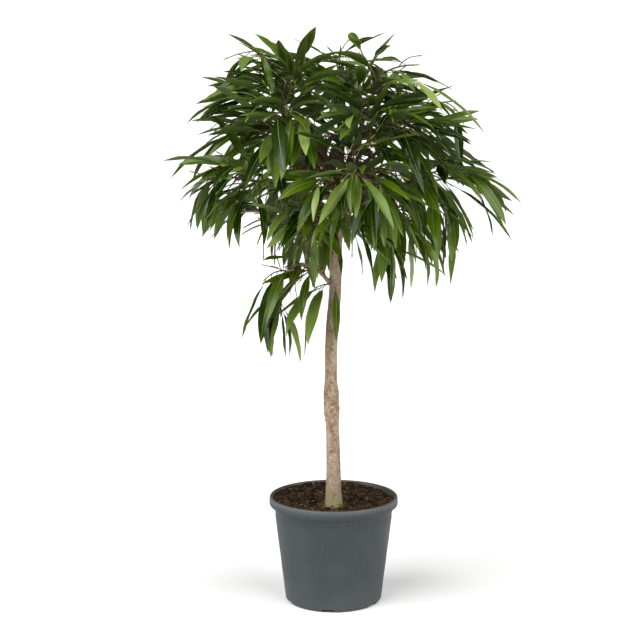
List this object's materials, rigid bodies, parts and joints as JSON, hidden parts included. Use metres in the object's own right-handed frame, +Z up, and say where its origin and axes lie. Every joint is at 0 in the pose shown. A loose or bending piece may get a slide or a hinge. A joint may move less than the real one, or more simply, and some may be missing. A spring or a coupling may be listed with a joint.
{
  "type": "long-leaved fig grown as a standard in a nursery pot",
  "caption": "Potted indoor tree: a bare stem with a mop crown of long narrow hanging leaves, in a round tapered plastic pot of soil.",
  "frame": {"origin": "middle of the pot's flat underside", "axes": "+Z up along the stem; -Y towards the side that the picture shows; +X to its right"},
  "size_m": [0.756, 0.7181, 1.2337],
  "materials": {
    "pot": "moulded, satin, slate grey",
    "soil": "crumbly moist potting soil",
    "bark": "smooth pale bark with fine marks",
    "leaf": "glossy green leaf"
  },
  "bodies": {
    "root": {"low_bough": "bark", "low_foliage": "leaf", "lower_bough_1": "bark", "lower_bough_2": "bark", "lower_bough_3": "bark", "lower_bough_4": "bark", "lower_foliage_1": "leaf", "lower_foliage_2": "leaf", "lower_foliage_3": "leaf", "lower_foliage_4": "leaf", "outer_bough_1": "bark", "outer_bough_2": "bark", "outer_bough_3": "bark", "outer_bough_4": "bark", "outer_bough_5": "bark", "outer_foliage_1": "leaf", "outer_foliage_2": "leaf", "outer_foliage_3": "leaf", "outer_foliage_4": "leaf", "outer_foliage_5": "leaf", "pot": "pot", "soil": "soil", "stem": "bark", "top_bough_1": "bark", "top_bough_2": "bark", "top_bough_3": "bark", "top_foliage_1": "leaf", "top_foliage_2": "leaf", "top_foliage_3": "leaf", "upper_bough_1": "bark", "upper_bough_2": "bark", "upper_bough_3": "bark", "upper_bough_4": "bark", "upper_bough_5": "bark", "upper_foliage_1": "leaf", "upper_foliage_2": "leaf", "upper_foliage_3": "leaf", "upper_foliage_4": "leaf", "upper_foliage_5": "leaf"}
  },
  "joints": []
}
